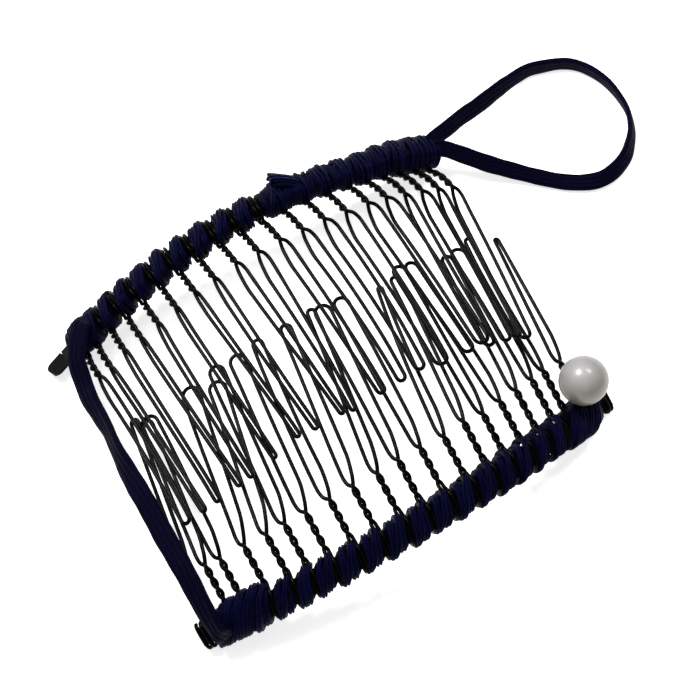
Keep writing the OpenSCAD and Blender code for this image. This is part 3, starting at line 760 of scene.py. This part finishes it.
    def at_teeth(self, start):
        """Three thin raised turns over each tooth's hook to the right of start."""
        for x in self.teeth:
            if x > start:
                for k in (-0.7, 0.15, 1.0):
                    self.turn(x - 0.1 + k, 0.85, RNG.uniform(-0.15, 0.15),
                              RNG.uniform(0.35, 0.65), 1, 0.5, HOOK_WANDER)

    def crossing(self, places):
        """Raised turns that cross a lashing slantwise, by place and slant."""
        for at, slant in places:
            self.turn(at, RNG.uniform(1.2, 1.8), slant, 0.45, 2, 0.5, CROSSING_WANDER)


# Place along the comb, extra width, extra thickness, shift from the teeth, shift outwards
UPPER_BINDING = [
    (-43.6, -0.7, -0.5, 0.0, 0.0), (-42.6, 0.0, 0.0, 0.0, 0.1), (-40.5, 0.4, 0.3, 0.2, 0.3),
    (-38.0, 0.1, 0.1, 0.0, 0.0), (0.0, 0.0, 0.0, 0.0, 0.0), (26.0, 0.0, 0.05, 0.1, 0.1),
    (32.0, 0.3, 0.6, 0.6, 0.6), (42.0, 0.3, 0.7, 0.9, 0.8), (44.0, 0.1, 0.5, 0.9, 0.8)]
LOWER_BINDING = [
    (-42.2, -0.2, -0.1, -0.3, 0.1), (-41.2, 0.3, 0.2, -0.4, 0.2), (-38.4, 0.7, 0.4, -0.6, 0.2),
    (-34.5, 0.7, 0.4, -0.6, 0.2), (-32.5, 0.1, 0.1, 0.0, 0.0), (0.0, 0.0, 0.0, 0.0, 0.0),
    (30.0, 0.1, 0.05, 0.0, 0.0), (36.0, 0.3, 0.2, -0.1, 0.0), (38.0, 0.6, 0.3, 0.0, 0.0),
    (44.0, 0.4, 0.3, 0.1, 0.0), (46.2, -0.5, -0.4, 0.1, 0.0)]

wrap = Binding(UPPER, UPPER_BINDING)
wrap.core(FILLED[UPPER])
wrap.between_teeth(FILLED[UPPER], 0.8, 1.3, 0.0, 0.6)
wrap.lashing(-42.3, -38.6, (0.9, 1.2), (1.3, 1.9), (0.3, 1.0), 3, 0.5)
wrap.lashing(5.2, 43.4, (0.75, 1.05), (0.9, 1.3), (-0.5, 1.3), 2, 0.46, 0.1)
wrap.at_teeth(5)
wrap.crossing([(7.5, 2.2), (36.5, 1.6), (39.6, 1.9)])
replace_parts(wrap.build.piece("upper_binding", THREAD, "binding_cord"), "upper_wrap")

wrap = Binding(LOWER, LOWER_BINDING)
wrap.core(FILLED[LOWER])
wrap.between_teeth(FILLED[LOWER], 0.88, 1.45, 0.3, 1.0)
wrap.lashing(-41.0, -33.8, (0.6, 0.9), (1.1, 1.8), (0.2, 2.6), 3, 0.46, 0.18)
wrap.lashing(37.4, 44.2, (0.9, 1.3), (1.6, 2.6), (1.6, 3.2), 3, 0.45, 0.18)
wrap.crossing([(-39.6, 2.6), (-37.4, 2.9), (-35.4, 2.4), (39.2, 3.1), (41.6, 3.4), (43.4, 2.2)])
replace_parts(wrap.build.piece("lower_binding", THREAD, "binding_cord"), "lower_wrap")

# Bare strips keep their own solids
for node in ("upper_strip", "lower_strip"):
    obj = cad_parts[node]
    obj.data.materials.clear()
    obj.data.materials.append(STRIP)

# Turns of the wire's end round both ends of the lower strip: where they start, how many
# there are, and half their width and thickness
COIL_PITCH = 0.88
for name, first, turns, wide, high in (("left_coil", -45.2, 2.25, 2.6, 1.35),
                                       ("right_coil", 47.6, 1.625, 2.35, 1.12)):
    a = np.radians(np.arange(0, 360 * turns + 1, 10))
    p, q = squarish(a, 0.7)
    path = comb_point(LOWER, first + COIL_PITCH * a / FULL_TURN, wide * p, high * q)
    bare_wire(path, name + "_wire", name)

# Pearl
lat = np.radians(np.linspace(-89, 89, 72))
lon = np.arange(96) * FULL_TURN / 96
ball = np.stack([np.cos(lat)[:, None] * np.cos(lon), np.cos(lat)[:, None] * np.sin(lon),
                 np.repeat(np.sin(lat)[:, None], len(lon), 1)], -1)
build = Build()
build.rings(PEARL_AT + PEARL_R * ball, flip=True)
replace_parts(build.piece("pearl_bead", PEARL, "pearl"), "pearl")

# Two twisted strands through the pearl, towards the binding
down = unit(comb_point(LOWER, PEARL_X, 0, 0) - PEARL_AT)
side_a = unit(np.cross(down, [1.0, 0, 0]))
side_b = np.cross(down, side_a)
t = np.linspace(0.15 - PEARL_R, PEARL_R + 0.6, 60)[:, None]
TIE_R, TIE_OFF, TIE_TWIST = 0.27, 0.2, 2.2
build = Build()
for phase in (0, math.pi):
    a = t * TIE_TWIST + phase
    twist = np.cos(a) * side_a + np.sin(a) * side_b
    build.tube(PEARL_AT + t * down + TIE_OFF * twist, TIE_R, 8)
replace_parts(build.piece("pearl_tie", THREAD, "binding_cord"), "pearl_thread")

# Cut end of the cord: strands that fray, spaced over its section like a sunflower's seeds.
# points are places along the upper comb, towards its teeth and outwards.
build = Build()
STRANDS, END_R, STRAND_R, SEED_TURN = 26, 1.6, 0.36, 2.4
for k in range(STRANDS):
    a, r = k * SEED_TURN, END_R * math.sqrt((k + 0.5) / STRANDS)
    dp, dq = 1.1 * r * math.cos(a), 0.9 * r * math.sin(a)
    end, spread = RNG.uniform(-0.5, 0.5), 1 + RNG.uniform(0.0, 0.12)
    points = np.array([(13.6, 0.4 + 0.9 * dp, 1.5 + 0.7 * dq), (12.0, -0.2 + dp, 2.2 + 0.9 * dq),
                       (10.4, -0.6 + dp, 2.9 + dq), (9.0, -1.0 + dp * spread, 3.4 + dq * spread),
                       (8.0 + end, -1.3 + dp * spread * 1.05, 3.7 + dq * spread * 1.05)])
    line = spline(points, 0.25)
    build.tube(comb_point(UPPER, line[:, 0], line[:, 1], line[:, 2]), STRAND_R, 8, taper=0.4)
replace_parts(build.piece("cord_end", THREAD, "binding_cord"), "cord_knot")

# Floor, with half its side in metres
FLOOR_HALF = 4
corners = [(x * FLOOR_HALF, y * FLOOR_HALF, 0) for x, y in ((-1, -1), (1, -1), (1, 1), (-1, 1))]
mesh = bpy.data.meshes.new("floor")
mesh.from_pydata(corners, [], [(0, 1, 2, 3)])
floor = bpy.data.objects.new("floor", mesh)
bpy.context.scene.collection.objects.link(floor)
n = Nodes("pale_floor")
s = n.add("BsdfPrincipled", {
    "Base Color": (0.93, 0.93, 0.93, 1), "Roughness": 0.7, "Specular IOR Level": 0.2,
    "Emission Color": (1, 1, 1, 1), "Emission Strength": 0.72})
mesh.materials.append(n.finish(s.outputs[0]))
floor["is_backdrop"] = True


# Light
def area(name, at, size, energy):
    """Square white area light in metres and watts, aimed at the middle of the clip."""
    light = bpy.data.lights.new(name, "AREA")
    light.shape, light.size, light.size_y = "RECTANGLE", size, size
    light.energy = energy
    at = np.array(at, float)
    z = unit(at - np.array([0, 0, 0.01]))
    x = unit(np.cross(np.array([0, 1.0, 0.01]), z))
    stand(bpy.data.objects.new(name, light), x, np.cross(z, x), z, at)


area("key", (-0.10, 0.30, 0.52), 0.12, 3.6)
area("fill", (0.34, 0.1, 0.6), 0.12, 1.3)
area("front", (-0.3, -0.6, 0.5), 0.3, 0.2)
area("top", (0.0, 0.5, 1.1), 1.2, 2.6)
world = bpy.data.worlds.new("world")
world.use_nodes = True
sky = world.node_tree.nodes["Background"].inputs
sky["Color"].default_value = (0.96, 0.97, 1.0, 1)
sky["Strength"].default_value = 0.2
bpy.context.scene.world = world
# Keeps the floor white and the cord navy, as in the photograph
bpy.context.scene.view_settings.view_transform = "Standard"

low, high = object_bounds()
